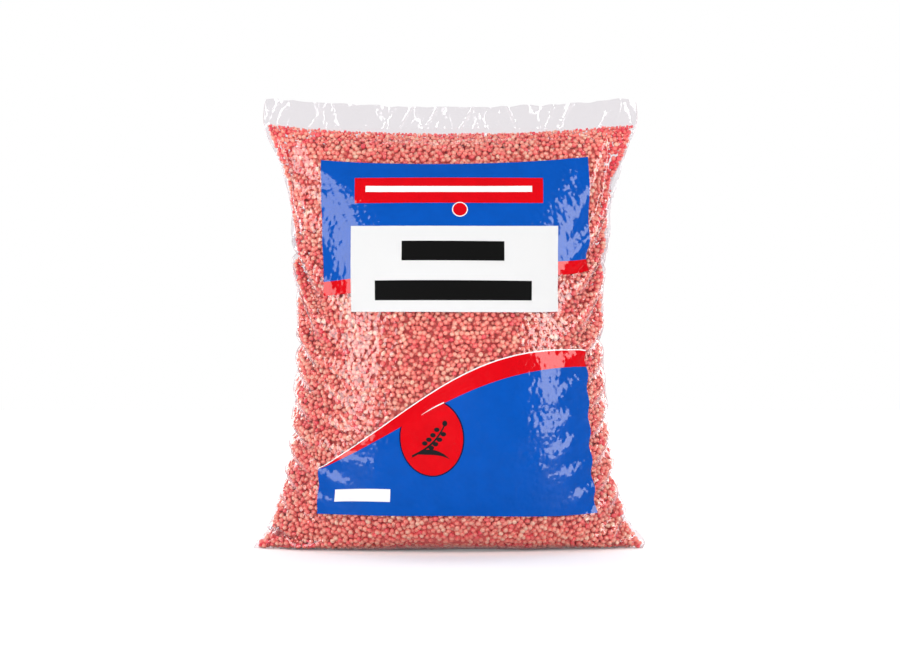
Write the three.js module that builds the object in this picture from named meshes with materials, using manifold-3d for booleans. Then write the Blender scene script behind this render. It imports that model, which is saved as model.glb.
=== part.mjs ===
// A clear polyethylene sack of sorghum seed, standing on its base, in millimetres.
// +Z is up, +X runs across the sack and its printed front faces -Y. The origin is on the floor, at the middle of the base.
//
// The sack is one length of lay-flat film tube, welded across the bottom, filled, and closed just above the seed.
// The film above the closure stands up as a flat skirt of two layers. Three pieces make the object:
// film_sack, the tube; seed_fill, the seed it holds; and front_label, a paper label stuck to its front.
import * as THREE from "three";
import { LoftGeometry } from "three/addons/geometries/LoftGeometry.js";
import { mergeVertices } from "three/addons/utils/BufferGeometryUtils.js";
import Module from "manifold-3d";

const wasm = await Module();
wasm.setup();

// Driving dimensions.
const CLOSURE_HEIGHT = 416; // floor to the line where the film closes on the seed, at the middle
const SKIRT_HEIGHT = 25; // the flat film above that line
const SEED_LEVEL = 408; // the top of the seed
const CORNER_LIFT = 9; // how much higher the closure and the skirt stand at the sides
const SKIRT_HALF_WIDTH = 182;
const SKIRT_HALF_DEPTH = 0.95; // two walls with a slot between them
const FILM = 0.6; // the wall; real film is about 0.1
const CLEARANCE = 0.3; // between neighbouring pieces
const LABEL = { width: 208, height: 87, across: 4, middle: 279, thickness: 0.4 };
const POINTS_ROUND = 48; // points in each section
const ROWS = 24; // sections between the floor and the closure
const SIDE_WALL = 4; // the wall is this much thicker where front and back meet at a sharp side

// Sections of the full sack, from the floor up: height, half width, half depth and how sharp the sides are
// (0.5 is an ellipse, 1 is a lens). The bottom corners stand out as ears, and the middle is drawn in to a waist.
const STATIONS = [
  { z: 0, halfWidth: 188, halfDepth: 56, sharpness: 0.95 },
  { z: 7, halfWidth: 193, halfDepth: 67, sharpness: 0.95 },
  { z: 24, halfWidth: 181, halfDepth: 77, sharpness: 0.8 },
  { z: 56, halfWidth: 169, halfDepth: 85, sharpness: 0.66 },
  { z: 101, halfWidth: 160, halfDepth: 89, sharpness: 0.6 },
  { z: 162, halfWidth: 155, halfDepth: 88, sharpness: 0.56 },
  { z: 213, halfWidth: 152, halfDepth: 83, sharpness: 0.56 },
  { z: 271, halfWidth: 153, halfDepth: 73, sharpness: 0.58 },
  { z: 319, halfWidth: 156, halfDepth: 60, sharpness: 0.62 },
  { z: 355, halfWidth: 162, halfDepth: 46, sharpness: 0.68 },
  { z: 385, halfWidth: 170, halfDepth: 29, sharpness: 0.76 },
  { z: 404, halfWidth: 178, halfDepth: 13, sharpness: 0.8 },
  { z: CLOSURE_HEIGHT, halfWidth: 183, halfDepth: SKIRT_HALF_DEPTH, sharpness: 0.5 },
];
const SKIRT = { halfWidth: SKIRT_HALF_WIDTH, halfDepth: SKIRT_HALF_DEPTH, sharpness: 0.25 };

const curveOf = (key) => new THREE.SplineCurve(STATIONS.map((s) => new THREE.Vector2(s.z, s[key])));
const curves = {
  halfWidth: curveOf("halfWidth"),
  halfDepth: curveOf("halfDepth"),
  sharpness: curveOf("sharpness"),
};

// The filled sack's outer measures at a share of the way up its stations.
function stationAt(share) {
  return {
    z: curves.halfWidth.getPoint(share).x,
    halfWidth: curves.halfWidth.getPoint(share).y,
    halfDepth: curves.halfDepth.getPoint(share).y,
    sharpness: curves.sharpness.getPoint(share).y,
  };
}

// One closed section, counterclockwise from above, and bowed up at the sides the higher it stands.
function sectionPoints({ z, halfWidth, halfDepth, sharpness }) {
  const lift = CORNER_LIFT * Math.pow(Math.min(z / CLOSURE_HEIGHT, 1), 4);
  return Array.from({ length: POINTS_ROUND }, (_, i) => {
    const angle = (i / POINTS_ROUND) * 2 * Math.PI;
    const across = Math.cos(angle);
    const through = Math.sign(Math.sin(angle)) * Math.pow(Math.abs(Math.sin(angle)), 2 * sharpness);
    return new THREE.Vector3(halfWidth * across, halfDepth * through, z + lift * across * across);
  });
}

// The filled sack's sections, moved in square to the film by a depth (out, where it is negative).
function filledSections(depth) {
  return Array.from({ length: ROWS + 1 }, (_, i) => {
    const share = i / ROWS;
    const here = stationAt(share);
    const below = stationAt(Math.max(share - 0.01, 0));
    const above = stationAt(Math.min(share + 0.01, 1));
    const lean = Math.min(Math.abs((above.halfDepth - below.halfDepth) / (above.z - below.z)), 1);
    return sectionPoints({
      z: Math.max(here.z, depth),
      halfWidth: here.halfWidth - SIDE_WALL * depth,
      halfDepth: Math.max(here.halfDepth - depth * Math.hypot(1, lean), SKIRT_HALF_DEPTH - FILM),
      sharpness: here.sharpness,
    });
  });
}

// The flat skirt's sections, from just above the closure to well past its edge.
function skirtSections(depth) {
  return [0.2, 0.6, 2].map((step) => sectionPoints({
    z: CLOSURE_HEIGHT + step * SKIRT_HEIGHT,
    halfWidth: SKIRT.halfWidth - SIDE_WALL * depth,
    halfDepth: SKIRT.halfDepth - depth,
    sharpness: SKIRT.sharpness,
  }));
}

// A closed shape as a solid, its vertices merged by position.
function toSolid(geometry) {
  const shape = new THREE.BufferGeometry();
  shape.setAttribute("position", geometry.attributes.position);
  shape.setIndex(geometry.index);
  const merged = mergeVertices(shape);
  return new wasm.Manifold(new wasm.Mesh({
    numProp: 3,
    vertProperties: merged.attributes.position.array,
    triVerts: Uint32Array.from(merged.index.array),
  }));
}

function fromSolid(solid) {
  const mesh = solid.getMesh();
  const geometry = new THREE.BufferGeometry();
  geometry.setAttribute("position", new THREE.BufferAttribute(mesh.vertProperties, 3));
  geometry.setIndex(new THREE.BufferAttribute(mesh.triVerts, 1));
  geometry.computeVertexNormals();
  return geometry;
}

function loft(sections) {
  return toSolid(new LoftGeometry(sections, { capStart: true, capEnd: true }));
}

// The front view's outline under the skirt's bowed edge, as a slab.
function underSkirtEdge() {
  const edge = CLOSURE_HEIGHT + SKIRT_HEIGHT;
  const reach = 200; // past the bottom corners, and the slab's depth to each side
  const rise = CORNER_LIFT * (reach / SKIRT_HALF_WIDTH) ** 2;
  const outline = new THREE.Shape();
  outline.moveTo(-reach, -1);
  outline.lineTo(reach, -1);
  outline.lineTo(reach, edge + rise);
  outline.quadraticCurveTo(0, edge - rise, -reach, edge + rise);
  outline.closePath();
  const slab = new THREE.ExtrudeGeometry(outline, { depth: 2 * reach, curveSegments: 24, bevelEnabled: false });
  return toSolid(slab.rotateX(Math.PI / 2).translate(0, reach, 0));
}

// The film is the sack's outside less its inside, which runs out through the slot between the skirt's two layers.
function filmSack() {
  const outside = loft([...filledSections(0), ...skirtSections(0)]);
  const inside = loft([...filledSections(FILM), ...skirtSections(FILM)]);
  return fromSolid(outside.subtract(inside).intersect(underSkirtEdge()));
}

function block(width, depth, height, middle) {
  return toSolid(new THREE.BoxGeometry(width, depth, height).translate(middle.x, middle.y, middle.z));
}

// The seed settles against the film all round, and lies level just under the closure.
function seedFill() {
  const held = loft(filledSections(FILM + CLEARANCE));
  const level = block(3 * SKIRT_HALF_WIDTH, SKIRT_HALF_WIDTH, 2 * SEED_LEVEL, { x: 0, y: 0, z: 0 });
  return fromSolid(held.intersect(level));
}

// The label is a rectangle of a thin shell just proud of the film's front.
function frontLabel() {
  const proud = loft(filledSections(-CLEARANCE - LABEL.thickness));
  const under = loft(filledSections(-CLEARANCE));
  const reach = SKIRT_HALF_WIDTH;
  const outline = block(LABEL.width, reach, LABEL.height, { x: LABEL.across, y: -reach / 2, z: LABEL.middle });
  return fromSolid(proud.subtract(under).intersect(outline));
}

// Materials.
const clearFilm = new THREE.MeshStandardMaterial({
  color: 0xe6e2e8, roughness: 0.12, metalness: 0, transparent: true, opacity: 0.25,
});
const dressedSeed = new THREE.MeshStandardMaterial({ color: 0xd9706f, roughness: 0.6, metalness: 0 });
const labelPaper = new THREE.MeshStandardMaterial({ color: 0xf7f7f7, roughness: 0.7, metalness: 0 });

function piece(name, geometry, material) {
  const mesh = new THREE.Mesh(geometry, material);
  mesh.name = name;
  return mesh;
}

const sack = new THREE.Group();
sack.name = "seed_sack";
sack.add(piece("film_sack", filmSack(), clearFilm));
sack.add(piece("seed_fill", seedFill(), dressedSeed));
sack.add(piece("front_label", frontLabel(), labelPaper));

export default sack;
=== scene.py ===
import math

import bmesh
import bpy
import numpy as np
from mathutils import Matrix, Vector
from mathutils.bvhtree import BVHTree


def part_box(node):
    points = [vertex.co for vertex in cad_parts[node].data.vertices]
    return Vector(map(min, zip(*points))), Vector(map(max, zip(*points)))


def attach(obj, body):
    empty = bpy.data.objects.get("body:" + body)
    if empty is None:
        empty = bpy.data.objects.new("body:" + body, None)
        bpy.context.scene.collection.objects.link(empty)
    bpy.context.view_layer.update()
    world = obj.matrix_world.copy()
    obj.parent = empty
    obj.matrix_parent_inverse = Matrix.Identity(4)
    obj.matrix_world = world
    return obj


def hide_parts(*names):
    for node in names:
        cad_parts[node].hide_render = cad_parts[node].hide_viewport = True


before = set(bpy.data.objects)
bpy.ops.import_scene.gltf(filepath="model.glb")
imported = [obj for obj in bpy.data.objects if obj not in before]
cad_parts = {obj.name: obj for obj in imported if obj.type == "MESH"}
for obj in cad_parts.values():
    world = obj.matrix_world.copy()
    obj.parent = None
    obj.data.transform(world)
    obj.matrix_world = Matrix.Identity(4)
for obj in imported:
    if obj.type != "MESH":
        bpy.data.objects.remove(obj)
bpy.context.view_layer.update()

# ------------ the film's shape
# The sack is one lay-flat polyethylene tube, welded across the bottom and filled until the film is tight.
# The film can't stretch, so the slack that the fat middle leaves at the two sides gathers there in crimps.
# Its flat tube is draped over the CAD sack by a small cloth solver, front and back as one loop of columns.
FLAT_WIDTH = 0.386  # of the tube, lying flat
WELD_TO_CLOSURE = 0.496  # of film, up the middle of the front
SKIRT = 0.025  # of film above the closure
CORNER_LIFT = 0.009  # how much higher the closure stands at its ends
SKIRT_HALF_WIDTH = 0.182
COARSE, FINE = 0.010, 0.005  # the solver's two mesh sizes
LUMPS = 0.0016  # how far the settled seed swells or hollows the film
# Heights at which the film is pinched in sharply, at the left and at the right side.
PINCHES = {"left": (0.027, 0.118, 0.205, 0.300), "right": (0.031, 0.077, 0.135, 0.209, 0.290, 0.368)}
PINCH_DEPTH, PINCH_REACH = 0.005, 0.005
SEED_GRIP = 0.2  # how firmly the seed keeps the film's slack spread evenly up the sides
TAUT = 0.17  # from the middle of the front and of the back, how far the crimps are faded
TAUT_FADE = 0.06  # the width over which they come back, inside that
SEED_ROOM = 0.0045  # from the sack's middle plane to the film, where the sack is thinnest
ROOM_FROM_SIDE, ROOM_FROM_END = 0.008, 0.005  # the distances over which that room opens
END_FADE = 0.03  # from the weld and the closure, over which the adjustments to the film come and go

closure_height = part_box("film_sack")[1].z - CORNER_LIFT - SKIRT


def corner_rise(heights):
    """How much higher a section's sides stand than its middle."""
    return CORNER_LIFT * (np.clip(heights, 0, closure_height) / closure_height) ** 4


def sack_profile(sections=60, from_ends=0.0005, widest=0.99, if_missed=0.7):
    """The CAD sack's half width, half depth and sharpness of its sides, at heights up to the closure."""
    cad = BVHTree.FromPolygons(
        [v.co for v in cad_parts["film_sack"].data.vertices],
        [p.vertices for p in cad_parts["film_sack"].data.polygons],
    )
    found = []
    for height in np.linspace(from_ends, closure_height - from_ends, sections):
        side = cad.ray_cast(Vector((1, 0, height + corner_rise(height))), Vector((-1, 0, 0)))[0]
        front = cad.ray_cast(Vector((0, -1, height)), Vector((0, 1, 0)))[0]
        half_width, half_depth = side.x, -front.y
        partway = cad.ray_cast(
            Vector((1, -half_depth / 2, height + corner_rise(height) / 2)), Vector((-1, 0, 0)))[0]
        share = min(partway.x / half_width, widest) if partway else if_missed
        sharpness = math.log(0.5) / math.log(1 - share * share)
        found.append((height, half_width, half_depth, sharpness))
    return np.array(found).T


profile = sack_profile()
BOW_HALF_WIDTH = 0.17  # over which the sections bow up at their sides
LONGEST_STEP = 0.012  # towards the seed
ROUNDING, LEAST_SLOPE = 0.02, 1e-3  # so that the step stays finite in the middle plane
FREE_OF_FLOOR = 0.006  # below this height the film is drawn onto the seed less and less


def onto_seed(points):
    """For each point of film, the step that would lay it on the seed."""
    x, y = points[..., 0], points[..., 1]
    height = points[..., 2] - corner_rise(points[..., 2]) * np.clip(x / BOW_HALF_WIDTH, -1, 1) ** 2
    half_width, half_depth, sharpness = (np.interp(height, profile[0], row) for row in profile[1:])
    level = (x / half_width) ** 2 + (np.abs(y) / half_depth) ** (1 / sharpness) - 1
    slope_x = 2 * x / half_width**2
    rounded = np.abs(y) / half_depth + ROUNDING
    slope_y = rounded ** (1 / sharpness - 1) / (sharpness * half_depth) * np.sign(y)
    share = level / (slope_x**2 + slope_y**2 + LEAST_SLOPE)
    step = np.stack([-share * slope_x, -share * slope_y, 0 * share], -1)
    length = np.linalg.norm(step, axis=-1, keepdims=True) + 1e-9
    off_the_floor = np.clip(height / FREE_OF_FLOOR, 0, 1)[..., None]
    return step * np.minimum(1, LONGEST_STEP / length) * off_the_floor


def blurred(values, passes):
    """Values on the film's loop of columns, averaged with their neighbours."""
    for _ in range(passes):
        values = 0.5 * values + 0.25 * (np.roll(values, 1, 1) + np.roll(values, -1, 1))
        values[1:-1] = 0.5 * values[1:-1] + 0.25 * (values[2:] + values[:-2])
    return values


def bent(points):
    """How far each point stands off the mean of its neighbours."""
    off = np.roll(points, 1, 1) + np.roll(points, -1, 1) - 2 * points
    off[1:-1] += points[2:] + points[:-2] - 2 * points[1:-1]
    return off


def facing(points):
    """The film's outward normals."""
    across = np.roll(points, -1, 1) - np.roll(points, 1, 1)
    up = np.gradient(points, axis=0)
    normal = np.cross(across, up)
    return normal / (np.linalg.norm(normal, axis=-1, keepdims=True) + 1e-12)


SPEED_KEPT = 0.92  # from one step to the next
LAY, SWELL, DROP = 0.09, 0.04, 1e-5  # a step's share of the way to the seed, of its lumps, and its fall
SIDE_GRIP = ((0, 0.15), (1, 0.07), (-1, 0.07))  # columns from a fold, and how firmly each is held to the side
FOLD_SQUEEZE = 0.2  # of that, how firmly the folds are drawn to the middle plane
DIAGONAL_HOLD = 0.4  # of the hold on the lengths up and across
FLATTENING = 0.9  # the share of their thickness that the weld and the closure keep in a pass
LEVELLING = 0.3  # how firmly the closure is held to its height


def drape(film, closure, lumps, steps, blur, passes, stiffness):
    """Cloth solver: draws the film onto the seed, and holds it near its flat lengths as it goes."""
    rows, columns = film.shape[:2]
    rest_across, rest_up = 2 * FLAT_WIDTH / columns, WELD_TO_CLOSURE / closure
    rest_skew = math.hypot(rest_across, rest_up)
    mirror = (-np.arange(columns)) % columns  # the column that lies behind each one
    flat_rows = np.r_[0, np.arange(closure, rows)]
    folds = {"left": (0, -1), "right": (columns // 2, 1)}

    def drawn(a, b, rest, share):
        apart = b - a
        length = np.sqrt((apart * apart).sum(-1, keepdims=True)) + 1e-9
        return 0.5 * share * (length - rest) / length * apart

    even_rise = np.arange(closure) / closure * (closure_height + CORNER_LIFT)
    speed = np.zeros_like(film)
    for _ in range(steps):
        speed *= SPEED_KEPT
        moved = film + speed
        pull = onto_seed(moved)
        pull[closure - 1:] = 0
        moved += LAY * blurred(pull, blur) + SWELL * lumps * facing(moved)
        moved[..., 2] -= DROP
        for fold, (column, outward) in folds.items():
            for offset, share in SIDE_GRIP:
                near = moved[:closure, (column + offset) % columns]
                edge = np.interp(near[:, 2], profile[0], profile[1])
                for pinch in PINCHES[fold]:
                    edge = edge - PINCH_DEPTH * np.exp(-(((near[:, 2] - pinch) / PINCH_REACH) ** 2))
                near[:, 0] += share * (outward * edge - near[:, 0])
                near[:, 1] -= FOLD_SQUEEZE * share * near[:, 1]
                near[:, 2] += SEED_GRIP * share * (even_rise - near[:, 2])
                moved[:closure, (column + offset) % columns] = near
        for _ in range(passes):
            for odd in (0, 1):
                shift = drawn(moved[:, odd::2], np.roll(moved, -1, 1)[:, odd::2], rest_across, 1)
                moved[:, odd::2] += shift
                moved[:, (np.arange(odd, columns, 2) + 1) % columns] -= shift
            leans = ((0, rest_up, 1), (1, rest_skew, DIAGONAL_HOLD), (-1, rest_skew, DIAGONAL_HOLD))
            for lean, rest, share in leans:
                for odd in (0, 1):
                    end = odd + 2 * ((rows - odd) // 2)
                    above = np.roll(moved, -lean, 1)[odd + 1:end:2]
                    shift = drawn(moved[odd:end:2], above, rest, share)
                    moved[odd:end:2] += shift
                    moved[odd + 1:end:2] -= np.roll(shift, lean, 1)
            moved[flat_rows] = 0.5 * (moved[flat_rows] + moved[flat_rows][:, mirror])
            out = np.clip(moved[closure, :, 0] / SKIRT_HALF_WIDTH, -1, 1)
            level = closure_height + CORNER_LIFT * out**2
            moved[closure:, :, 2] += LEVELLING * (level - moved[closure, :, 2])
            moved[closure:, :, 1] *= FLATTENING
            moved[0, :, 1] *= FLATTENING
            moved[..., 0] -= 0.5 * moved[..., 0].mean()
            np.maximum(moved[..., 2], 0, out=moved[..., 2])
        for _ in range(3):
            moved -= stiffness * bent(bent(moved))
        np.maximum(moved[..., 2], 0, out=moved[..., 2])
        speed = moved - film
        film = moved
    return film


def smooth_noise(rng, rows, columns, blur):
    """Even random lumps, about -1 to 1, round the film's loop."""
    noise = blurred(rng.normal(0, 1, (rows, columns, 1)), blur)
    return noise / (3 * noise.std())


def resampled(points, rows, columns):
    """The film's points on another number of rows and columns, by cubic curves through them."""
    up = np.linspace(0, points.shape[0] - 1, rows)[:, None]
    across = np.arange(columns)[None] * (points.shape[1] / columns)
    return sampled(points, *np.broadcast_arrays(up, across))


def sampled(points, up, across):
    """Points of the film at row and column numbers with fractions, by cubic curves through its points."""
    def weights(t):
        return (
            ((-0.5 * t + 1) * t - 0.5) * t,
            (1.5 * t - 2.5) * t * t + 1,
            ((-1.5 * t + 2) * t + 0.5) * t,
            (0.5 * t - 0.5) * t * t,
        )
    row = np.clip(np.floor(up).astype(int), 0, points.shape[0] - 2)
    column = np.floor(across).astype(int)
    row_weights, column_weights = weights(up - row), weights(across - column)
    total = 0
    for i in range(4):
        rows = np.clip(row + i - 1, 0, points.shape[0] - 1)
        for j in range(4):
            share = (row_weights[i] * column_weights[j])[..., None]
            total = total + share * points[rows, (column + j - 1) % points.shape[1]]
    return total


# The solver's two rounds: mesh size, steps, blur of the pull, passes over the lengths, and stiffness.
ROUNDS = ((COARSE, 500, 3, 2, 0.010), (FINE, 450, 6, 3, 0.012))
START_WIDTH, START_BULGE = 0.9, 0.004  # the tube as it starts: a share of its flat width, and barely open
EVENNESS = 12  # the film starts uneven by a mesh size over this, so that it doesn't crimp in rows
LUMP_BLUR = 0.4  # over a mesh size, the rounds of blur that the lumps get


def filled_film():
    """The film's points, on a grid of rows up the tube and columns round it from the left by the front."""
    rng = np.random.default_rng(11)
    film, closure = None, 0
    for size, steps, blur, passes, stiffness in ROUNDS:
        half = round(FLAT_WIDTH / size)
        closure = round(WELD_TO_CLOSURE / size)
        rows = closure + round(SKIRT / size) + 1
        if film is None:
            turn = np.arange(2 * half) / half
            film = np.zeros((rows, 2 * half, 3))
            film[..., 0] = START_WIDTH * FLAT_WIDTH * np.where(turn < 1, turn - 0.5, 1.5 - turn)
            film[..., 1] = START_BULGE * np.sin(np.pi * turn) * -1
            film[..., 2] = (np.arange(rows) / closure * closure_height)[:, None]
        film = resampled(film, rows, 2 * half) + rng.normal(0, size / EVENNESS, (rows, 2 * half, 3))
        lumps = LUMPS * smooth_noise(rng, rows, 2 * half, round(LUMP_BLUR / size))
        if not (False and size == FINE):
            film = drape(film, closure, lumps, steps, blur, passes, stiffness)
    return roomy(calmed(grounded(film), closure), closure), closure


def grounded(film):
    """The film with its bottom weld laid down on the floor, ears and all."""
    fade = np.exp(-((np.arange(film.shape[0]) * FINE / END_FADE) ** 2))[:, None]
    film[..., 2] = np.maximum(film[..., 2] - film[0, :, 2] * fade, 0)
    return film


CALMING, CALM_BLUR = 0.85, 24  # the share of the crimps that goes, and the rounds of blur that take it out
CALM_LAG = 0.3  # of the end fade, before the crimps start to go


def calmed(film, closure):
    """The film with its crimps fading out towards the middle of the front and of the back, which are taut."""
    rows, columns = film.shape[:2]
    quarter = columns // 4
    off_middle = np.abs(np.arange(columns) % (columns // 2) - quarter)[None, :, None] * FINE
    from_end = np.clip(np.minimum(np.arange(rows), closure - np.arange(rows)), 0, None)[:, None, None] * FINE
    share = CALMING * np.clip((TAUT - off_middle) / TAUT_FADE, 0, 1)
    share = share * np.clip(from_end / END_FADE - CALM_LAG, 0, 1)
    return film + share * (blurred(film.copy(), CALM_BLUR) - film)


def roomy(film, closure):
    """The film with its front and back far enough apart, near the closure and the sides, to hold seed.

    It moves points straight out from the middle plane, and so doesn't keep the lengths between them.
    """
    rows, columns = film.shape[:2]
    from_side = np.minimum(np.arange(columns), columns // 2 - np.arange(columns)) % (columns // 2)
    from_side = np.minimum(from_side, columns // 2 - from_side)[None] * FINE
    from_end = np.clip(np.minimum(np.arange(rows), closure - np.arange(rows)), 0, None)[:, None] * FINE
    room = SEED_ROOM * np.clip(from_side / ROOM_FROM_SIDE, 0, 1) ** 0.5
    room = room * np.clip(from_end / ROOM_FROM_END, 0, 1) ** 0.5
    front = (np.arange(columns) < columns // 2)[None]
    film[..., 1] = np.where(front, np.minimum(film[..., 1], -room), np.maximum(film[..., 1], room))
    return film


film_points, closure_row = filled_film()
film_rows, film_columns = film_points.shape[:2]
film_step_up, film_step_across = WELD_TO_CLOSURE / closure_row, 2 * FLAT_WIDTH / film_columns

# ------------ the skirt
# Above the closure the tube's two layers stand up flat against each other, and handling has creased them.
# Each layer has its own creases, slanting both ways, and the cut edge waves a little.
LAYER_GAP = 0.0003  # from the middle to each layer
CREASES, CREASE_DEPTH = 90, 0.0011  # in each layer
CREASE_SLANT, CREASE_WIDTHS = 0.9, (0.0015, 0.006)
CREASE_SHARPNESS = 1.5
SWAY, SWAY_STEPS = 0.0022, 13  # of both layers together, and how many random steps it has from side to side
EDGE_WAVE, EDGE_STEPS = 0.0008, 40  # the same for the cut edge's height
FOLD_FADE = 0.012  # the skirt lies flat this near its folds
FOLD_GAP = 0.15  # of the gap between its layers, right at its folds
CREASE_RISE = 0.7  # the creases deepen towards the cut edge, by this power of the height
FOLD_DROP = 0.003  # how much lower the cut edge is at the folds


def crease(rng, across, up):
    """A layer's sideways bend: sharp creases at random places and slants."""
    bend = np.zeros(np.broadcast(across, up).shape)
    for _ in range(CREASES):
        place, slant = rng.uniform(0, FLAT_WIDTH), rng.normal(0, CREASE_SLANT)
        width, depth = rng.uniform(*CREASE_WIDTHS), rng.uniform(-1, 1)
        off = (across - place - slant * up) / width
        bend += depth * np.exp(-np.abs(off) ** CREASE_SHARPNESS) * CREASE_DEPTH
    return bend


def with_skirt(points):
    """The film's points, fine enough for the creases, with the skirt's layers apart and creased."""
    rng = np.random.default_rng(5)
    rows, columns = points.shape[:2]
    start = round(closure_row * (rows - 1) / (film_rows - 1))
    half = columns // 2
    up = np.arange(rows - start)[:, None] * (SKIRT / (rows - 1 - start))
    across = np.arange(half + 1)[None] * (FLAT_WIDTH / half)
    ends = np.clip(np.minimum(across, FLAT_WIDTH - across) / FOLD_FADE, 0, 1)
    rise = np.clip(up / SKIRT, 0, 1) ** CREASE_RISE * ends
    sways = rng.normal(0, 1, SWAY_STEPS)
    sway = SWAY * np.interp(across, np.linspace(0, FLAT_WIDTH, SWAY_STEPS), sways) * rise
    waves = rng.normal(0, EDGE_WAVE, EDGE_STEPS)
    cut_edge = np.interp(across, np.linspace(0, FLAT_WIDTH, EDGE_STEPS), waves) * (up / SKIRT) ** 2
    for sign, order in ((-1, np.arange(half + 1)), (1, (-np.arange(half + 1)) % columns)):
        apart = LAYER_GAP + np.abs(crease(rng, across, up)) * rise
        points[start:, order, 1] = sway + sign * apart * np.clip(ends + FOLD_GAP, 0, 1)
        points[start:, order, 2] += cut_edge * ends - FOLD_DROP * (1 - ends) * up / SKIRT
    return points


FILM_MESH = 0.0025  # the finished film's mesh
fine_columns = 2 * round(FLAT_WIDTH / FILM_MESH)
fine_rows = round((film_rows - 1) * film_step_up / FILM_MESH) + 1
film_fine = with_skirt(resampled(film_points, fine_rows, fine_columns))


def grid_mesh(name, points, wraps=False):
    """A mesh over a grid of points, with the flat film's own measures as its UV map."""
    rows, columns = points.shape[:2]
    grid = bmesh.new()
    bmesh.ops.create_grid(grid, x_segments=columns - 1, y_segments=rows - 1, size=0.5)
    flat = grid.loops.layers.uv.new("OFBake")
    for face in grid.faces:
        for loop in face.loops:
            loop[flat].uv = loop.vert.co.xy + Vector((0.5, 0.5))
    for vert, place in zip(grid.verts, points.reshape(-1, 3)):
        vert.co = place
    if wraps:
        bmesh.ops.remove_doubles(grid, verts=grid.verts, dist=1e-6)
    for face in grid.faces:
        face.smooth = True
    mesh = bpy.data.meshes.new(name)
    grid.to_mesh(mesh)
    grid.free()
    piece = bpy.data.objects.new(name, mesh)
    bpy.context.scene.collection.objects.link(piece)
    return piece


film = grid_mesh("film_tube", np.concatenate([film_fine, film_fine[:, :1]], 1), wraps=True)


# ------------ clear film
# Low-density polyethylene, 0.1 mm thick: clear and glossy, with a faint haze that thickens where it is seen
# edge-on, and drawn tight over the seed, which shows through in it as small bumps.
FILM_TINT, FILM_HAZE = (0.953, 0.937, 0.953, 1), (0.98, 0.75, 0.78, 1)
FILM_INDEX, FILM_ROUGHNESS = 1.51, 0.035
BOTH_FACES = 1.6  # times what one face mirrors, since film has two
MOST_MIRRORED = 0.3  # the film wrinkles too finely to mirror more at its very edge
HAZE_STARTS = 0.48  # how far the film turns away before it looks milky
HAZE_FACING, HAZE_EDGE_ON = 0.012, 0.62
SEED_CELLS, FILM_WAVES, SKIRT_RIDGES = 190, 38, 38  # noise scales
CREASE_STRETCH, CREASE_FINENESS = 0.14, 9.0


def new_material(name):
    material = bpy.data.materials.new(name)
    material.use_nodes = True
    nodes = material.node_tree.nodes
    nodes.clear()
    output = nodes.new("ShaderNodeOutputMaterial")
    return material, nodes, material.node_tree.links, output


def place_noise(nodes, links, scale, detail):
    """A noise pattern that is fixed to the sack."""
    place = nodes.new("ShaderNodeTexCoord")
    noise = nodes.new("ShaderNodeTexNoise")
    noise.inputs["Scale"].default_value = scale
    noise.inputs["Detail"].default_value = detail
    links.new(place.outputs["Object"], noise.inputs["Vector"])
    return noise.outputs["Fac"]


def map_range(nodes, start, end, low, high):
    """A node that turns a value from start to end into one from low to high."""
    node = nodes.new("ShaderNodeMapRange")
    for name, value in (("From Min", start), ("From Max", end), ("To Min", low), ("To Max", high)):
        node.inputs[name].default_value = value
    return node


def seed_bumps():
    """Node group: the bumps that the seed presses into film, slow waves along it, and the skirt's creases."""
    group = bpy.data.node_groups.new("film_over_seed", "ShaderNodeTree")
    for name in ("Bump Height", "Wave Height", "Crease Height"):
        group.interface.new_socket(name, in_out="INPUT", socket_type="NodeSocketFloat")
    group.interface.new_socket("Height", in_out="OUTPUT", socket_type="NodeSocketFloat")
    nodes, links = group.nodes, group.links
    inputs, outputs = nodes.new("NodeGroupInput"), nodes.new("NodeGroupOutput")
    place = nodes.new("ShaderNodeTexCoord")
    cells = nodes.new("ShaderNodeTexVoronoi")
    cells.feature = "SMOOTH_F1"
    cells.inputs["Scale"].default_value = SEED_CELLS
    cells.inputs["Smoothness"].default_value = 0.6
    waves = place_noise(nodes, links, FILM_WAVES, 2)
    links.new(place.outputs["Object"], cells.inputs["Vector"])

    def math_node(operation, *values):
        node = nodes.new("ShaderNodeMath")
        node.operation = operation
        for socket, value in zip(node.inputs, values):
            if isinstance(value, (int, float)):
                socket.default_value = value
            else:
                links.new(value, socket)
        return node.outputs[0]

    height = math_node("MULTIPLY", cells.outputs["Distance"], inputs.outputs["Bump Height"])
    height = math_node("MULTIPLY_ADD", waves, inputs.outputs["Wave Height"], height)
    split = nodes.new("ShaderNodeSeparateXYZ")
    links.new(place.outputs["Object"], split.inputs["Vector"])
    on_skirt = math_node("GREATER_THAN", split.outputs["Z"], closure_height + 0.003)
    reach = math_node("MULTIPLY", on_skirt, inputs.outputs["Crease Height"])
    for slant, seed in ((0.45, 3.0), (-0.6, 17.0)):
        along = math_node("MULTIPLY_ADD", split.outputs["Z"], slant, split.outputs["X"])
        streak = nodes.new("ShaderNodeCombineXYZ")
        links.new(along, streak.inputs["X"])
        links.new(math_node("MULTIPLY", split.outputs["Z"], CREASE_STRETCH), streak.inputs["Z"])
        streak.inputs["Y"].default_value = seed
        ridges = nodes.new("ShaderNodeTexNoise")
        ridges.inputs["Scale"].default_value = SKIRT_RIDGES
        ridges.inputs["Detail"].default_value = 1
        links.new(streak.outputs["Vector"], ridges.inputs["Vector"])
        off = math_node("ABSOLUTE", math_node("SUBTRACT", ridges.outputs["Fac"], 0.5))
        ridge = math_node("SUBTRACT", 1.0, math_node("MULTIPLY", off, 2.0))
        fold = math_node("POWER", ridge, CREASE_FINENESS)
        height = math_node("MULTIPLY_ADD", fold, reach, height)
    links.new(height, outputs.inputs["Height"])
    return group


film_over_seed = seed_bumps()


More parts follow.
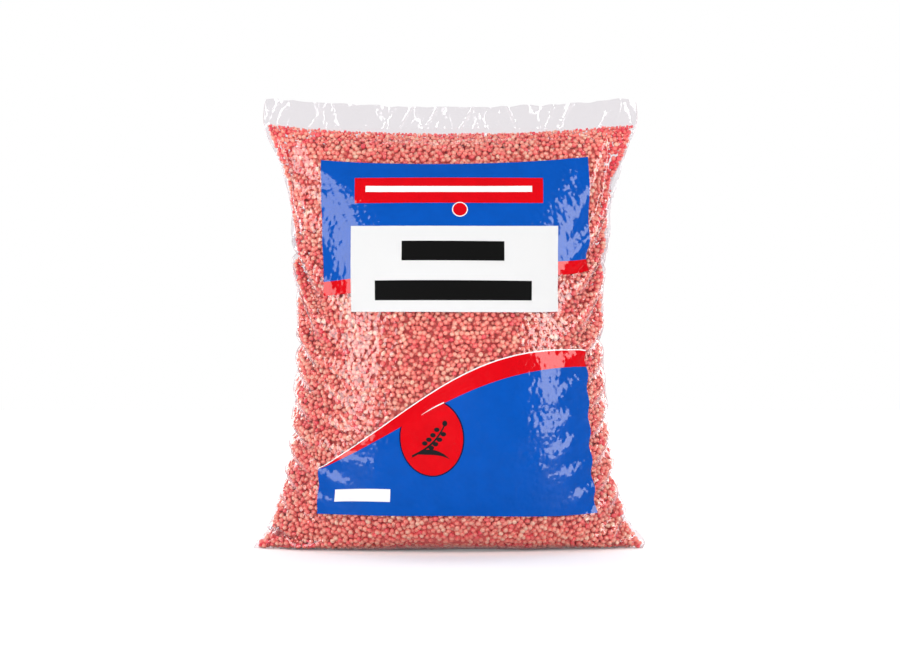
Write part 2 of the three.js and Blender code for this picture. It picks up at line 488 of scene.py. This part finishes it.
def bumped(nodes, links, bump_height, wave_height, crease_height=0.0):
    """A normal that follows the seed and the film's waves."""
    height = nodes.new("ShaderNodeGroup")
    height.node_tree = film_over_seed
    height.inputs["Bump Height"].default_value = bump_height
    height.inputs["Wave Height"].default_value = wave_height
    height.inputs["Crease Height"].default_value = crease_height
    bump = nodes.new("ShaderNodeBump")
    bump.inputs["Distance"].default_value = 1
    links.new(height.outputs["Height"], bump.inputs["Height"])
    return bump.outputs["Normal"]


def clear_film():
    material, nodes, links, output = new_material("clear_film")
    through = nodes.new("ShaderNodeBsdfTransparent")
    through.inputs["Color"].default_value = FILM_TINT
    shine = nodes.new("ShaderNodeBsdfGlossy")
    shine.inputs["Roughness"].default_value = FILM_ROUGHNESS
    haze = nodes.new("ShaderNodeBsdfDiffuse")
    haze.inputs["Color"].default_value = FILM_HAZE
    normal = bumped(nodes, links, bump_height=-0.0009, wave_height=0.0012, crease_height=0.0019)
    fresnel = nodes.new("ShaderNodeFresnel")
    side = nodes.new("ShaderNodeNewGeometry")
    index = nodes.new("ShaderNodeMix")
    index.inputs["A"].default_value = FILM_INDEX
    index.inputs["B"].default_value = 1 / FILM_INDEX  # the back, where the Fresnel node turns the index over
    links.new(side.outputs["Backfacing"], index.inputs["Factor"])
    links.new(index.outputs["Result"], fresnel.inputs["IOR"])
    both_faces = nodes.new("ShaderNodeMath")
    both_faces.operation = "MULTIPLY"
    both_faces.use_clamp = True
    both_faces.inputs[1].default_value = BOTH_FACES
    capped = nodes.new("ShaderNodeMath")
    capped.operation = "MINIMUM"
    capped.inputs[1].default_value = MOST_MIRRORED
    hazy = nodes.new("ShaderNodeMixShader")
    glancing = nodes.new("ShaderNodeLayerWeight")
    milky = map_range(nodes, HAZE_STARTS, 1, HAZE_FACING, HAZE_EDGE_ON)
    milky.interpolation_type = "SMOOTHSTEP"
    links.new(glancing.outputs["Facing"], milky.inputs["Value"])
    links.new(milky.outputs["Result"], hazy.inputs[0])
    surface = nodes.new("ShaderNodeMixShader")
    links.new(normal, shine.inputs["Normal"])
    links.new(normal, fresnel.inputs["Normal"])
    links.new(fresnel.outputs[0], both_faces.inputs[0])
    links.new(both_faces.outputs[0], capped.inputs[0])
    links.new(through.outputs[0], hazy.inputs[1])
    links.new(haze.outputs[0], hazy.inputs[2])
    links.new(capped.outputs[0], surface.inputs[0])
    links.new(hazy.outputs[0], surface.inputs[1])
    links.new(shine.outputs[0], surface.inputs[2])
    links.new(surface.outputs[0], output.inputs["Surface"])
    return material


film.data.materials.append(clear_film())
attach(film, "root")
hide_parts("film_sack")


# ------------ printed panels
# Opaque ink on the front of the film: two blue panels, a red stripe under the upper one, and over the lower
# one a red band with a white edge and a hanging disc. Where prints overlap, each has its own lift.
# Measures are on the flat tube: across from its middle, and up from the bottom weld.
INK_LIFT = 0.00025  # ink stands this far proud of the film's middle
BAND_LIFT = INK_LIFT + 0.00022
OUTLINE_LIFT, DISC_LIFT, SLIVER_LIFT = INK_LIFT + 0.00018, INK_LIFT + 0.00040, INK_LIFT + 0.0006
BANNER_LIFT, ON_BANNER_LIFT, ROUNDEL_LIFT = INK_LIFT + 0.00024, INK_LIFT + 0.00045, INK_LIFT + 0.00062
SPRIG_LIFT = INK_LIFT + 0.0006
WHITE_LINE = 0.0013
INK_INDEX, INK_ROUGHNESS = 1.45, 0.09
INK_BLOTCHES = 60  # noise scale
THIN_INK, THICK_INK = 0.86, 1.12  # of the ink's colour, in its blotches


def on_film(across, up, lift):
    """Points that far out from the front of the film, at places on the flat tube."""
    row = up / film_step_up
    column = (across + FLAT_WIDTH / 2) / film_step_across
    place = sampled(film_points, row, column)
    near = 0.4
    along = sampled(film_points, row, column + near) - sampled(film_points, row, column - near)
    above = sampled(film_points, row + near, column) - sampled(film_points, row - near, column)
    out = np.cross(along, above)
    return place + lift * out / np.linalg.norm(out, axis=-1, keepdims=True)


def edge(start, end, dip=0):
    """A curve on the flat film from start to end, bowed down by a dip at its middle."""
    (left, left_up), (right, right_up) = start, end
    return (
        start,
        (left + (right - left) / 3, left_up + (right_up - left_up) / 3 - 4 / 3 * dip),
        (right - (right - left) / 3, right_up - (right_up - left_up) / 3 - 4 / 3 * dip),
        end,
    )


def bezier(curve, t):
    """Points of a curve at shares of the way along it."""
    a, b, c, d = (np.array(p)[:, None] for p in curve)
    return (1 - t) ** 3 * a + 3 * (1 - t) ** 2 * t * b + 3 * (1 - t) * t**2 * c + t**3 * d


def printed(name, lower, upper, material, lift=INK_LIFT, mesh=0.0025):
    """A printed patch between a lower and an upper curve, each from left to right."""
    length = np.linalg.norm(np.diff(bezier(lower, np.linspace(0, 1, 20)), axis=1), axis=0).sum()
    height = np.linalg.norm(bezier(upper, np.array([0.5])) - bezier(lower, np.array([0.5])))
    along = np.linspace(0, 1, max(round(length / mesh), 2) + 1)
    over = np.linspace(0, 1, max(round(height / mesh), 1) + 1)[:, None, None]
    places = bezier(lower, along)[None] * (1 - over) + bezier(upper, along)[None] * over
    return finish_print(grid_mesh(name, on_film(places[:, 0], places[:, 1], lift)), material)


def finish_print(piece, material):
    """The print with its ink, as part of the film."""
    piece.data.materials.append(material)
    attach(piece, "root")
    return piece


def printed_disc(name, centre, radius, material, lift, mesh=0.002):
    """A round printed patch, with its own radius across and up: a square grid bowed out."""
    steps = np.linspace(-1, 1, 2 * max(round(radius[0] / mesh), 2) + 1)
    s, t = np.meshgrid(steps, steps)
    across = centre[0] + radius[0] * s * np.sqrt(1 - t * t / 2)
    up = centre[1] + radius[1] * t * np.sqrt(1 - s * s / 2)
    return finish_print(grid_mesh(name, on_film(across, up, lift)), material)


def solid_material(name):
    """A material with one shader, joined to its output."""
    material, nodes, links, output = new_material(name)
    shader = nodes.new("ShaderNodeBsdfPrincipled")
    links.new(shader.outputs[0], output.inputs["Surface"])
    return material, nodes, links, shader


def ink(name, colour):
    """Glossy printing ink, a little uneven in tone, that waves with the film."""
    material, nodes, links, shader = solid_material(name)
    shader.inputs["Roughness"].default_value = INK_ROUGHNESS
    shader.inputs["IOR"].default_value = INK_INDEX
    tone = nodes.new("ShaderNodeMix")
    tone.data_type = "RGBA"
    tone.inputs["A"].default_value = (*(THIN_INK * c for c in colour), 1)
    tone.inputs["B"].default_value = (*(min(THICK_INK * c, 1) for c in colour), 1)
    links.new(place_noise(nodes, links, INK_BLOTCHES, 4), tone.inputs["Factor"])
    links.new(tone.outputs["Result"], shader.inputs["Base Color"])
    normal = bumped(nodes, links, bump_height=-0.0003, wave_height=0.0015)
    links.new(normal, shader.inputs["Normal"])
    return material


blue_ink = ink("blue_ink", (0.0, 0.078, 0.43))
red_ink = ink("red_ink", (0.66, 0.0, 0.005))
white_ink = ink("white_ink", (0.88, 0.88, 0.88))
black_ink = ink("black_ink", (0.012, 0.012, 0.014))
navy_ink = ink("navy_ink", (0.004, 0.007, 0.035))

upper_top = edge((-0.1303, 0.4584), (0.1404, 0.4624), 0.009)
stripe_top = edge((-0.1313, 0.3307), (0.1480, 0.3552), 0.002)
stripe_bottom = edge((-0.1313, 0.3161), (0.1480, 0.3412), 0.002)
printed("upper_blue_panel", stripe_top, upper_top, blue_ink)
printed("red_stripe", stripe_bottom, stripe_top, red_ink)

band_top = ((-0.1348, 0.1273), (-0.0550, 0.1923), (0.0313, 0.2828), (0.1464, 0.2525))
band_bottom = ((-0.1348, 0.1260), (-0.0488, 0.1826), (0.0373, 0.2577), (0.1480, 0.2340))
line_bottom = tuple((across, up - WHITE_LINE) for across, up in band_top)
panel_foot = edge((-0.1323, 0.0777), (0.1459, 0.0772), -0.0198)
printed("lower_blue_panel", panel_foot, band_bottom, blue_ink)
printed("red_band", band_bottom, line_bottom, red_ink, lift=BAND_LIFT)
printed("white_edge_line", line_bottom, band_top, white_ink)

# A disc hangs from the band, in a thin navy outline, with a white sliver where it leaves the band.
disc = (-0.0187, 0.1742)
printed_disc("disc_outline", disc, (0.0312, 0.0379), navy_ink, OUTLINE_LIFT)
printed_disc("red_disc", disc, (0.0299, 0.0366), red_ink, DISC_LIFT)
printed("white_sliver", edge((-0.0285, 0.1963), (-0.0065, 0.2083), -0.0006),
        edge((-0.0285, 0.1964), (-0.0065, 0.2094), -0.0010), white_ink, lift=SLIVER_LIFT)

# Plain shapes stand for the lettering and the marks: a bar and a roundel on the upper panel, a bar at the
# lower panel's foot, and on the disc a sprig of grain.
roundel = (0.010, 0.4000)
printed("banner", edge((-0.0950, 0.4098), (0.0932, 0.4102), 0.003),
        edge((-0.0952, 0.4369), (0.0932, 0.4369), 0.002), red_ink, lift=BANNER_LIFT)
printed("banner_bar", edge((-0.084, 0.4210), (0.082, 0.4212), 0.0025),
        edge((-0.084, 0.4275), (0.082, 0.4277), 0.0025), white_ink, lift=ON_BANNER_LIFT)
printed_disc("roundel_rim", roundel, (0.0078, 0.0078), white_ink, ON_BANNER_LIFT)
printed_disc("roundel", roundel, (0.0068, 0.0068), red_ink, ROUNDEL_LIFT)
printed("weight_bar", edge((-0.1140, 0.0962), (-0.0576, 0.1077), -0.0015),
        edge((-0.1140, 0.1092), (-0.0576, 0.1207), -0.0015), white_ink, lift=BANNER_LIFT)

stem = ((-0.0370, 0.1545), (-0.0280, 0.1600), (-0.0150, 0.1660), (-0.0060, 0.1860))
stem_top = tuple((across - 0.0006, up + 0.0020) for across, up in stem)
leaf = ((-0.0330, 0.1580), (-0.0240, 0.1570), (-0.0120, 0.1600), (-0.0020, 0.1540))
leaf_top = ((-0.0330, 0.1590), (-0.0240, 0.1650), (-0.0120, 0.1650), (-0.0020, 0.1545))
GRAIN_OFF_STEM, GRAIN = (0.0031, 0.0021), (0.0027, 0.0022)
printed("sprig_stem", stem, stem_top, black_ink, lift=SPRIG_LIFT)
printed("sprig_leaf", leaf, leaf_top, black_ink, lift=SPRIG_LIFT)
for grain, along in enumerate((0.50, 0.62, 0.74, 0.86)):
    across, up = bezier(stem_top, np.array([along]))[:, 0]
    for side in (-1, 1):
        place = (across + side * GRAIN_OFF_STEM[0], up - side * GRAIN_OFF_STEM[1])
        printed_disc(f"sprig_grain_{2 * grain + (side + 3) // 2}", place, GRAIN, black_ink, SPRIG_LIFT)
printed_disc("sprig_tip", (-0.0060, 0.1887), (0.0024, 0.0028), black_ink, SPRIG_LIFT)

# ------------ paper label
# A white self-adhesive paper label across the front, over the upper panel's foot. Two plain dark bars stand
# for its lettering.
LABEL_LIFT = 0.0006
LABEL_INK_LIFT = LABEL_LIFT + 0.0002


def label_paper():
    material, nodes, links, shader = solid_material("label_paper")
    shader.inputs["Base Color"].default_value = (0.715, 0.715, 0.715, 1)
    shader.inputs["Roughness"].default_value = 0.75
    return material


label = printed("paper_label", edge((-0.0998, 0.2991), (0.1112, 0.2988), 0.0024),
                edge((-0.0988, 0.3863), (0.1093, 0.3877), 0.0043), label_paper(), lift=LABEL_LIFT)
label_ink, nodes, links, shader = solid_material("label_ink")
shader.inputs["Base Color"].default_value = (0.006, 0.006, 0.006, 1)
shader.inputs["Roughness"].default_value = 0.6
shader.inputs["IOR"].default_value = 1.1
label_bars = [
    printed("label_bar_1", edge((-0.047, 0.3482), (0.054, 0.3484), 0.0008),
            edge((-0.047, 0.3680), (0.054, 0.3682), 0.0008), label_ink, lift=LABEL_INK_LIFT),
    printed("label_bar_2", edge((-0.074, 0.3095), (0.082, 0.3097), 0.0016),
            edge((-0.074, 0.3293), (0.082, 0.3295), 0.0016), label_ink, lift=LABEL_INK_LIFT),
]
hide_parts("front_label")

# ------------ seed
# Sorghum kernels, nearly round, and coated with a coral-pink dressing that is thin in places. They lie at
# random against the film, with a second layer behind them in the gaps.
SEED = 0.0055  # a full-sized kernel's mean width
SHAPE = (1.1, 1.0, 0.88)  # a kernel's length, width and thickness, as shares of that
SIZES, STRETCHES = (0.90, 1.08), (0.96, 1.04)  # times its size, all round and in each direction, at random
SPACING = 0.0051  # of the loose brickwork that the kernels start from
ROW_HEIGHT = 0.866  # of the spacing
SHIFT = 0.19  # how far each is shifted at random, as a share of a row
NEAREST = 0.0039  # no two full-sized kernels' middles are nearer than this
KERNEL_CLEAR = 0.0029  # from a full-sized kernel's middle to the film
PRINT_CLEAR = 0.0033  # and to the printed front, which no kernel may show through
PRINT_REACH = 0.15  # the print lies this near the middle
SMALLEST = 0.45  # of full size: the small kernels that sift into the narrow folds and up to the closure
LAYERS = (0.0031, 0.0064)  # least depth of the brickwork's middles under the film
DEPTH_SPREAD = 0.0003
EDGE_DEPTHS = (0.3, 1)  # times that depth, for the strays at the folds and the closure
STRAYS = (12000, 2000)  # more places tried in each layer, anywhere
EDGE_STRAYS = 7000  # and more along the two folds, and as many under the closure
FOLD_SPREAD, CLOSURE_SPREAD = 0.010, 0.04  # how far from those they are, as shares of the film
ENDS = (0.003, 0.998)  # the rows of kernels end here, as shares of the way from the weld to the closure
SEED_LIMIT = 4000  # kernels in one mesh, at most


def kernel_shape(layer):
    """A kernel as a small round mesh: finer against the film than behind."""
    ball = bmesh.new()
    if layer == 0:
        bmesh.ops.create_cube(ball, size=1)
        bmesh.ops.subdivide_edges(ball, edges=ball.edges, cuts=1, use_grid_fill=True)
    else:
        bmesh.ops.create_icosphere(ball, subdivisions=1, radius=1)
    for vert in ball.verts:
        vert.co.normalize()
    bmesh.ops.triangulate(ball, faces=ball.faces)
    points = np.array([v.co for v in ball.verts])
    faces = np.array([[v.index for v in f.verts] for f in ball.faces])
    ball.free()
    return points, faces


def inside(room, place):
    """Whether a place is within the film.

    Level lines from it, to its own side and its own face, then cross the film an odd number of times.
    """
    for direction in (Vector((math.copysign(1, place.x), 0, 0)), Vector((0, math.copysign(1, place.y), 0))):
        crossings, start = 0, place
        while crossings < 8:
            hit = room.ray_cast(start, direction)[0]
            if hit is None:
                break
            crossings += 1
            start = hit + direction * 1e-5
        if crossings % 2 == 0:
            return False
    return True


def seed_places():
    """Places for kernels, with their sizes: a loose brickwork under the film, and strays in its gaps."""
    rng = np.random.default_rng(23)
    room = BVHTree.FromPolygons([v.co for v in film.data.vertices], [p.vertices for p in film.data.polygons])
    smooth = blurred(film_points.copy(), 2)
    outward = facing(smooth)
    taken, found = {}, []
    rows, columns = round(WELD_TO_CLOSURE / (SPACING * ROW_HEIGHT)), round(2 * FLAT_WIDTH / SPACING)
    row, column = (n.ravel() for n in np.mgrid[0:rows, 0:columns])
    for layer, depth in enumerate(LAYERS):
        up = (row + 0.5 + layer / 3) / rows + rng.normal(0, SHIFT / rows, row.size)
        across = (column + row % 2 / 2 + layer / 2) / columns + rng.normal(0, SHIFT / columns, row.size)
        edge_up = np.r_[rng.uniform(0, 1, EDGE_STRAYS), rng.uniform(1 - CLOSURE_SPREAD, 1, EDGE_STRAYS)]
        fold = rng.integers(0, 3, EDGE_STRAYS) / 2
        by_fold = fold + rng.normal(0, FOLD_SPREAD, EDGE_STRAYS)
        edge_across = np.r_[by_fold, rng.uniform(0, 1, EDGE_STRAYS)]
        up = np.r_[up, rng.uniform(0, 1, STRAYS[layer]), edge_up].clip(*ENDS) * closure_row
        across = np.r_[across, rng.uniform(0, 1, STRAYS[layer]), edge_across] % 1 * film_columns
        normals = sampled(outward, up, across)
        sink = depth + np.abs(rng.normal(0, DEPTH_SPREAD, up.size))
        sink[-2 * EDGE_STRAYS:] *= rng.uniform(*EDGE_DEPTHS, 2 * EDGE_STRAYS)
        places = sampled(smooth, up, across) - normals * sink[:, None]
        for place, normal in zip(places, normals):
            cell = tuple(np.floor(place / NEAREST).astype(int))
            around = [
                other
                for i in (-1, 0, 1)
                for j in (-1, 0, 1)
                for k in (-1, 0, 1)
                for other in taken.get((cell[0] + i, cell[1] + j, cell[2] + k), ())
            ]
            spot = Vector(place)
            behind_print = normal[1] < 0 and abs(place[0]) < PRINT_REACH
            size = min(room.find_nearest(spot)[3] / (PRINT_CLEAR if behind_print else KERNEL_CLEAR), 1)
            if size < SMALLEST:
                continue
            if any((spot - other).length < NEAREST * (size + other_size) / 2 for other, other_size in around):
                continue
            if not inside(room, spot):
                continue
            taken.setdefault(cell, []).append((spot, size))
            found.append((layer, place, normal, size))
    return found


TONE, TONE_SPREAD, PAINTED_LIGHT_TONE = 0.50, 0.15, 0.30  # along the dressing's colours, from red to pale: a kernel's mean tone, its random spread, and a painted highlight where it faces out, with painted shade at its rim


def kernel_mesh(name, kernels, rng):
    """Many kernels as one mesh, each turned, sized and toned at random, with a painted highlight where it
    faces out and painted shade at its rim.
    """
    points, faces = kernel_shape(kernels[0][0])
    count = len(kernels)
    centres = np.array([kernel[1] for kernel in kernels])[:, None]
    outward = np.array([kernel[2] for kernel in kernels])[:, None]
    turns = rng.normal(size=(count, 4))
    turns /= np.linalg.norm(turns, axis=1, keepdims=True)
    w, x, y, z = turns.T
    matrices = np.stack([
        np.stack([1 - 2 * (y * y + z * z), 2 * (x * y - z * w), 2 * (x * z + y * w)], -1),
        np.stack([2 * (x * y + z * w), 1 - 2 * (x * x + z * z), 2 * (y * z - x * w)], -1),
        np.stack([2 * (x * z - y * w), 2 * (y * z + x * w), 1 - 2 * (x * x + y * y)], -1),
    ], 1)
    sizes = SEED / 2 * rng.uniform(*SIZES, (count, 1)) * np.array(SHAPE)
    sizes *= np.array([kernel[3] for kernel in kernels])[:, None]
    sizes = sizes * rng.uniform(*STRETCHES, (count, 3))
    shaped = np.einsum("nij,nkj->nki", matrices, points[None] * sizes[:, None])
    # Painted light: each kernel is paler where it faces out of the film, towards the lamps, and redder at its
    # rim, as painted shade.
    painted_light = (shaped * outward).sum(-1)
    tones = TONE + TONE_SPREAD * rng.normal(size=(count, 1)) + PAINTED_LIGHT_TONE * painted_light / (SEED / 2)
    triangles = faces[None] + (np.arange(count) * len(points))[:, None, None]
    mesh = bpy.data.meshes.new(name)
    mesh.vertices.add(count * len(points))
    mesh.vertices.foreach_set("co", (shaped + centres).astype(np.float32).ravel())
    mesh.loops.add(triangles.size)
    mesh.loops.foreach_set("vertex_index", triangles.astype(np.int32).ravel())
    mesh.polygons.add(triangles.size // 3)
    mesh.polygons.foreach_set("loop_start", np.arange(0, triangles.size, 3, dtype=np.int32))
    mesh.update(calc_edges=True)
    mesh.shade_smooth()
    tone = mesh.attributes.new("tone", "FLOAT", "POINT")
    tone.data.foreach_set("value", tones.astype(np.float32).ravel())
    piece = bpy.data.objects.new(name, mesh)
    bpy.context.scene.collection.objects.link(piece)
    return piece


DRESSING = (
    (0.15, (0.90, 0.040, 0.075, 1)),
    (0.38, (0.97, 0.115, 0.145, 1)),
    (0.58, (1.0, 0.270, 0.215, 1)),
    (0.90, (1.0, 0.66, 0.48, 1)),
)  # from the thickest to the thinnest, where the pale seed shows through; the painted highlight on each kernel's outward face also runs up it towards the pale end
DRESSING_PATCHES = 420  # noise scale


def seed_dressing():
    material, nodes, links, shader = solid_material("dressed_seed")
    shader.inputs["Roughness"].default_value = 0.38
    tone = nodes.new("ShaderNodeAttribute")
    tone.attribute_name = "tone"
    patches = place_noise(nodes, links, DRESSING_PATCHES, 3)
    blend = nodes.new("ShaderNodeMix")
    blend.inputs["Factor"].default_value = 0.3
    colours = nodes.new("ShaderNodeValToRGB")
    stops = colours.color_ramp.elements
    stops[0].position, stops[0].color = DRESSING[0]
    stops[1].position, stops[1].color = DRESSING[-1]
    for position, colour in DRESSING[1:-1]:
        stops.new(position).color = colour
    links.new(tone.outputs["Fac"], blend.inputs["A"])
    links.new(patches, blend.inputs["B"])
    links.new(blend.outputs["Result"], colours.inputs["Fac"])
    links.new(colours.outputs["Color"], shader.inputs["Base Color"])
    dents = nodes.new("ShaderNodeBump")
    dents.inputs["Distance"].default_value = 0.0005
    links.new(patches, dents.inputs["Height"])
    links.new(dents.outputs["Normal"], shader.inputs["Normal"])
    return material


dressing = seed_dressing()
seed_rng = np.random.default_rng(31)
kernels = seed_places()
kernels.sort(key=lambda k: (k[0], k[1][1] > 0, round(k[1][2], 2)))
number = 0
for layer in range(len(LAYERS)):
    alike = [kernel for kernel in kernels if kernel[0] == layer]
    for start in range(0, len(alike), SEED_LIMIT):
        number += 1
        seeds = kernel_mesh(f"seeds_{number:02d}", alike[start:start + SEED_LIMIT], seed_rng)
        seeds.data.materials.append(dressing)
        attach(seeds, "root")
        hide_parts("seed_fill")

# ------------ seed behind the outer kernels
# The rest of the seed, as one deep pink body just behind the kernels that show.
# It ends a little below the closure.
CORE_DEPTH, CORE_SIDES = 0.0095, 1.5  # under the CAD sack's skin, and how many times that at the sides
CORE_THINNEST = 0.003  # its least half depth
CORE_TOP = 0.022  # below the closure
CORE_CELLS = 200  # noise scale


def seed_core():
    """The CAD sack's own sections, smaller by the core's depth, as a closed body."""
    heights = np.linspace(CORE_DEPTH, closure_height - CORE_TOP, 40)[:, None]
    turn = np.linspace(0, 2 * np.pi, 97)[None]
    half_width, half_depth, sharpness = (np.interp(heights, profile[0], row) for row in profile[1:])
    x = (half_width - CORE_SIDES * CORE_DEPTH) * -np.cos(turn)
    through = np.abs(np.sin(turn)) ** (2 * sharpness) * -np.sign(np.sin(turn))
    y = np.maximum(half_depth - CORE_DEPTH, CORE_THINNEST) * through
    z = heights + corner_rise(heights) * np.cos(turn) ** 2
    core = grid_mesh("seed_core", np.stack(np.broadcast_arrays(x, y, z), -1), wraps=True)
    closing = bmesh.new()
    closing.from_mesh(core.data)
    bmesh.ops.holes_fill(closing, edges=[e for e in closing.edges if e.is_boundary], sides=0)
    closing.to_mesh(core.data)
    closing.free()
    material, nodes, links, shader = solid_material("packed_seed")
    shader.inputs["Roughness"].default_value = 0.8
    place = nodes.new("ShaderNodeTexCoord")
    # The colour runs from a paler pink at each cell's middle to a deeper red at its edges: painted shade
    # between the packed kernels that the cells stand for.
    cells = nodes.new("ShaderNodeTexVoronoi")
    cells.inputs["Scale"].default_value = CORE_CELLS
    colours = nodes.new("ShaderNodeValToRGB")
    stops = colours.color_ramp.elements
    stops[0].position, stops[0].color = 0.1, (0.95, 0.30, 0.24, 1)
    stops[1].position, stops[1].color = 0.6, (0.75, 0.12, 0.11, 1)
    links.new(place.outputs["Object"], cells.inputs["Vector"])
    links.new(cells.outputs["Distance"], colours.inputs["Fac"])
    links.new(colours.outputs["Color"], shader.inputs["Base Color"])
    core.data.materials.append(material)
    return core


core = seed_core()
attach(core, "root")
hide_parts("seed_fill")

# ------------ floor, lights and camera
# A white floor that fades into a white room. A tall soft box stands at each corner, front and back; a broad
# front fill, which nothing glossy mirrors, and an overhead light the rest. The room is dimmer in front.
FLOOR_SIZE = 8.0
FLOOR_PAINT, MIRRORED_FLOOR = (0.93, 0.93, 0.94, 1), (0.12, 0.12, 0.12, 1)
# The floor glows for the camera alone, though it is no lamp: painted light, fainter near the sack, where it
# lifts the sack's shadow, and stronger further out, where it whitens the floor.
GLOW_NEAR, GLOW_FAR = 0.22, 0.9  # at these distances:
GLOW_STARTS, GLOW_ENDS = 0.3, 1.5
ROOM_FRONT, ROOM_BACK = 0.14, 0.5  # the room's brightness, in front of the sack and behind it
FRONT_ENDS, BACK_STARTS = -0.35, 0.25  # directions' Y, between which it changes


def studio_floor():
    plane = bmesh.new()
    bmesh.ops.create_grid(plane, x_segments=1, y_segments=1, size=FLOOR_SIZE / 2)
    mesh = bpy.data.meshes.new("floor")
    plane.to_mesh(mesh)
    plane.free()
    floor = bpy.data.objects.new("floor", mesh)
    bpy.context.scene.collection.objects.link(floor)
    material, nodes, links, shader = solid_material("white_floor")
    shader.inputs["Roughness"].default_value = 0.6
    shader.inputs["Emission Color"].default_value = (1, 1, 1, 1)
    place = nodes.new("ShaderNodeTexCoord")
    distance = nodes.new("ShaderNodeVectorMath")
    distance.operation = "LENGTH"
    glow = map_range(nodes, GLOW_STARTS, GLOW_ENDS, GLOW_NEAR, GLOW_FAR)
    links.new(place.outputs["Object"], distance.inputs[0])
    links.new(distance.outputs["Value"], glow.inputs["Value"])
    seen = nodes.new("ShaderNodeLightPath")  # only the camera sees the glow, the floor's painted light, and gloss mirrors the floor painted darker than it is
    shown = nodes.new("ShaderNodeMath")
    shown.operation = "MULTIPLY"
    paint = nodes.new("ShaderNodeMix")
    paint.data_type = "RGBA"
    paint.inputs["A"].default_value = FLOOR_PAINT
    paint.inputs["B"].default_value = MIRRORED_FLOOR
    links.new(seen.outputs["Is Camera Ray"], shown.inputs[0])
    links.new(glow.outputs["Result"], shown.inputs[1])
    links.new(shown.outputs[0], shader.inputs["Emission Strength"])
    links.new(seen.outputs["Is Glossy Ray"], paint.inputs["Factor"])
    links.new(paint.outputs["Result"], shader.inputs["Base Color"])
    mesh.materials.append(material)
    return floor


studio_floor()
LIT_POINT = Vector((0, 0, 0.22))  # the sack's middle, which every light is turned to


def soft_box(name, place, width, height, radiance, reflected=True):
    """An area light of its own size and brightness."""
    lamp = bpy.data.lights.new(name, "AREA")
    lamp.shape = "RECTANGLE"
    lamp.size, lamp.size_y = width, height
    lamp.energy = radiance * math.pi * width * height
    light = bpy.data.objects.new(name, lamp)
    light.location = place
    light.rotation_euler = (LIT_POINT - Vector(place)).to_track_quat("-Z", "Y").to_euler()
    light.visible_glossy = reflected
    bpy.context.scene.collection.objects.link(light)


# Each light's place, width, height and brightness.
soft_box("left_box", (-1.25, -1.00, 0.62), 0.62, 1.3, 5.1)
soft_box("right_box", (1.36, -0.93, 0.62), 0.47, 1.3, 6.3)
soft_box("front_fill", (0, -3.2, 0.9), 1.6, 1.6, 5.1, reflected=False)
soft_box("overhead", (0, 0.9, 2.0), 1.8, 1.2, 2.2)
soft_box("back_left_box", (-1.25, 1.00, 0.62), 0.62, 1.3, 3.6)
soft_box("back_right_box", (1.25, 1.00, 0.62), 0.62, 1.3, 3.6)

world = bpy.data.worlds.new("studio")
world.use_nodes = True
bpy.context.scene.world = world
nodes, links = world.node_tree.nodes, world.node_tree.links
background = nodes["Background"]
seen = nodes.new("ShaderNodeLightPath")
direction = nodes.new("ShaderNodeTexCoord")
split = nodes.new("ShaderNodeSeparateXYZ")
room = map_range(nodes, FRONT_ENDS, BACK_STARTS, ROOM_FRONT, ROOM_BACK)
strength = nodes.new("ShaderNodeMix")
strength.inputs["B"].default_value = 1.0
links.new(direction.outputs["Generated"], split.inputs["Vector"])
links.new(split.outputs["Y"], room.inputs["Value"])
links.new(seen.outputs["Is Camera Ray"], strength.inputs["Factor"])
links.new(room.outputs["Result"], strength.inputs["A"])
links.new(strength.outputs["Result"], background.inputs["Strength"])
background.inputs["Color"].default_value = (1, 1, 1, 1)

LENS = 100  # millimetres
CAMERA_DISTANCE, CAMERA_HEIGHT = 2.5, 0.223
lens = bpy.data.cameras.new("camera")
lens.lens = LENS
camera = bpy.data.objects.new("camera", lens)
camera.location = (0, -CAMERA_DISTANCE, CAMERA_HEIGHT)
camera.rotation_euler = (math.radians(90), 0, 0)
bpy.context.scene.collection.objects.link(camera)
bpy.context.scene.camera = camera
bpy.context.scene.view_settings.view_transform = "Standard"
